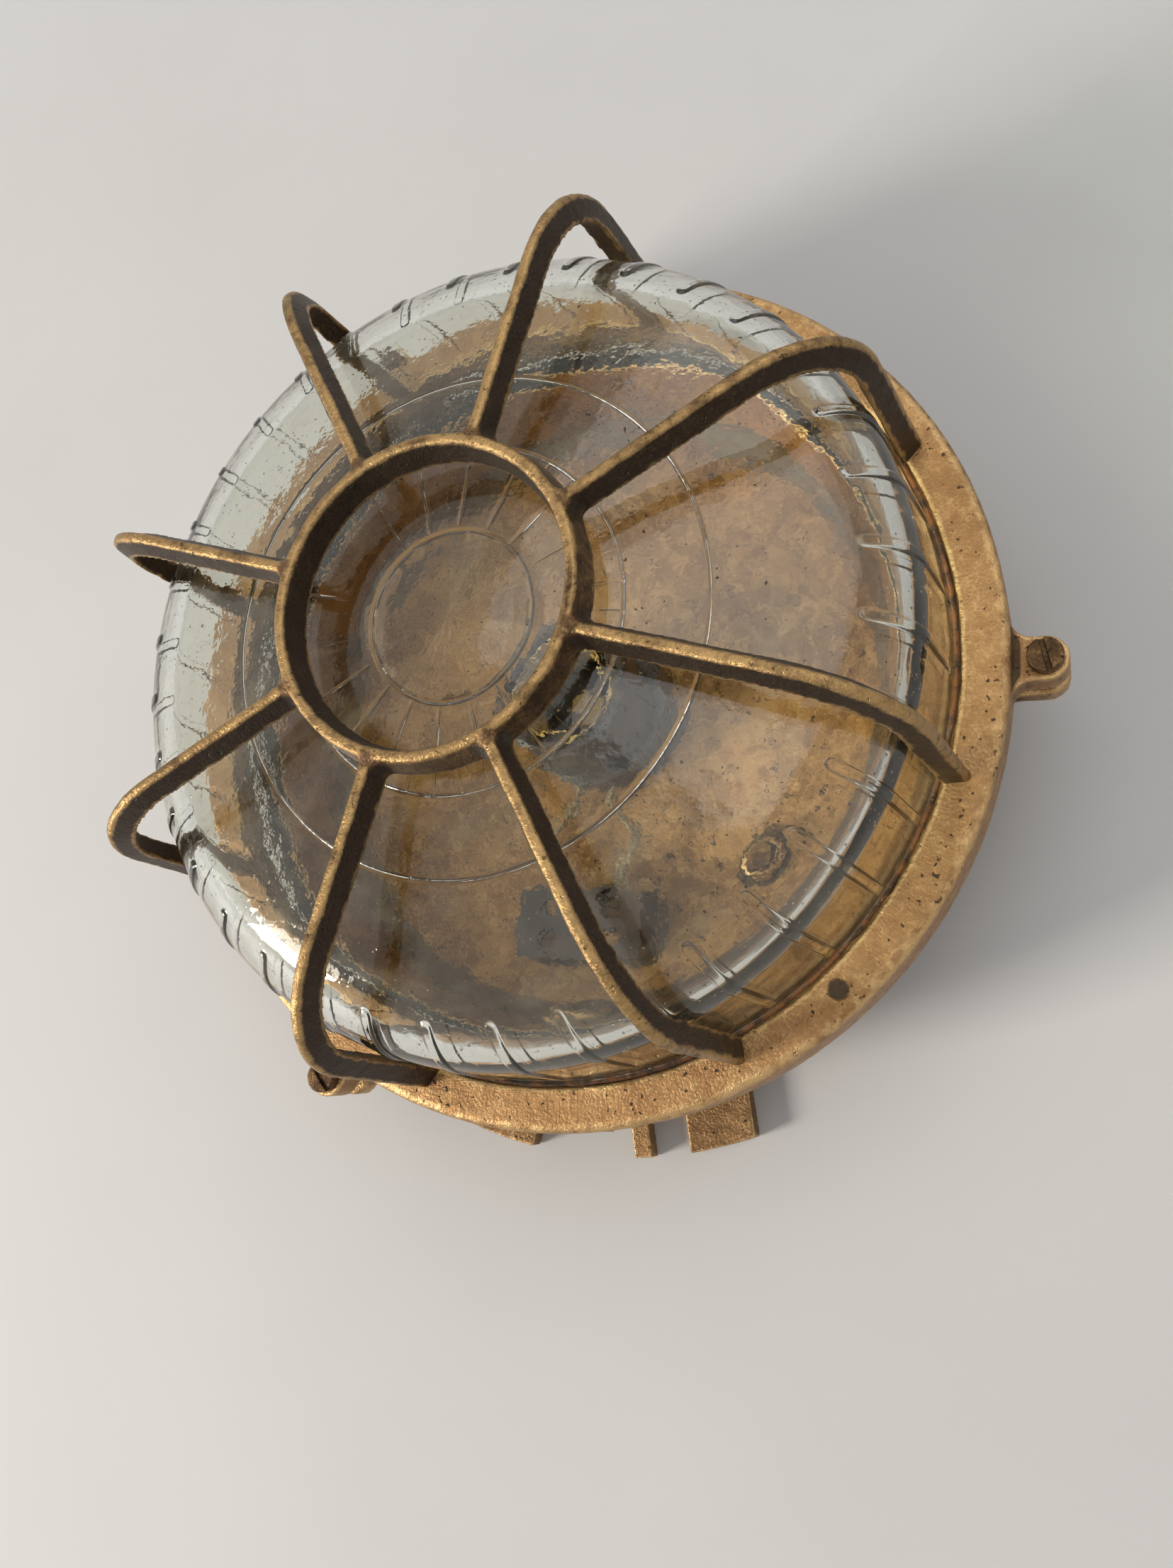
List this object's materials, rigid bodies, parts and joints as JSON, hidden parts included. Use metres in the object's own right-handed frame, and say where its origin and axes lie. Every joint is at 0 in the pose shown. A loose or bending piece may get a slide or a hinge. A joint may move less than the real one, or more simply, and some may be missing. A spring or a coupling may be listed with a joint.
{
  "type": "outdoor wall lantern",
  "caption": "Round cast-brass bulkhead wall light: a thick pressed glass dome under a ribbed guard, screwed to a shallow dish with slotted feet and a cable gland.",
  "frame": {"origin": "middle of the back face, on the wall plane", "axes": "+Z away from the wall along the lamp's axis, -Y towards the cable entry, +X towards one of the cover screws"},
  "size_m": [0.253, 0.2586, 0.126],
  "materials": {
    "guard_brass": "aged cast brass with bright worn ridges",
    "base_brass": "dark aged cast brass",
    "glass": "clear pressed glass, slightly grey-green",
    "gasket_rubber": "old black rubber",
    "gland_brass": "aged turned brass",
    "screw_brass": "aged turned brass",
    "moulding": "dark brown moulded resin",
    "contact_brass": "spun brass",
    "lead_sleeve": "brown insulation"
  },
  "bodies": {
    "base": {"base_casting": "base_brass", "base_gasket": "gasket_rubber", "gland_body": "gland_brass", "gland_seal": "gasket_rubber", "gland_washer": "gland_brass", "lampholder": "moulding", "lamp_shell": "contact_brass", "centre_contact": "contact_brass", "holder_screws": "screw_brass", "terminal_block": "moulding", "terminal_screws": "screw_brass", "terminal_fixing": "screw_brass", "live_lead": "lead_sleeve", "neutral_lead": "lead_sleeve", "earth_washer": "screw_brass", "earth_screw": "screw_brass"},
    "guard": {"guard_casting": "guard_brass"},
    "glass": {"glass_dome": "glass", "glass_gasket": "gasket_rubber"},
    "gland_nut": {"gland_nut": "gland_brass"},
    "cover_screw_1": {"cover_screw_1": "screw_brass"},
    "cover_screw_2": {"cover_screw_2": "screw_brass"},
    "cover_screw_3": {"cover_screw_3": "screw_brass"}
  },
  "joints": [
    {"name": "guard_lift", "type": "slide", "parent": "base", "child": "guard", "axis": [0, 0, 1], "range_m": [0, 0.12]},
    {"name": "glass_lift", "type": "slide", "parent": "base", "child": "glass", "axis": [0, 0, 1], "range_m": [0, 0.06]},
    {"name": "gland_nut_turn", "type": "hinge", "parent": "base", "child": "gland_nut", "pos_m": [0, -0.118, 0.016], "axis": [0, -1, 0], "continuous": true},
    {"name": "cover_screw_1_turn", "type": "hinge", "parent": "guard", "child": "cover_screw_1", "pos_m": [0.1275, 0, 0.049], "axis": [0, 0, 1], "continuous": true},
    {"name": "cover_screw_2_turn", "type": "hinge", "parent": "guard", "child": "cover_screw_2", "pos_m": [-0.06375, 0.11042, 0.049], "axis": [0, 0, 1], "continuous": true},
    {"name": "cover_screw_3_turn", "type": "hinge", "parent": "guard", "child": "cover_screw_3", "pos_m": [-0.06375, -0.11042, 0.049], "axis": [0, 0, 1], "continuous": true}
  ],
  "couplings": [
    {"joint": "glass_lift", "follows": "guard_lift", "ratio": 0.5}
  ]
}
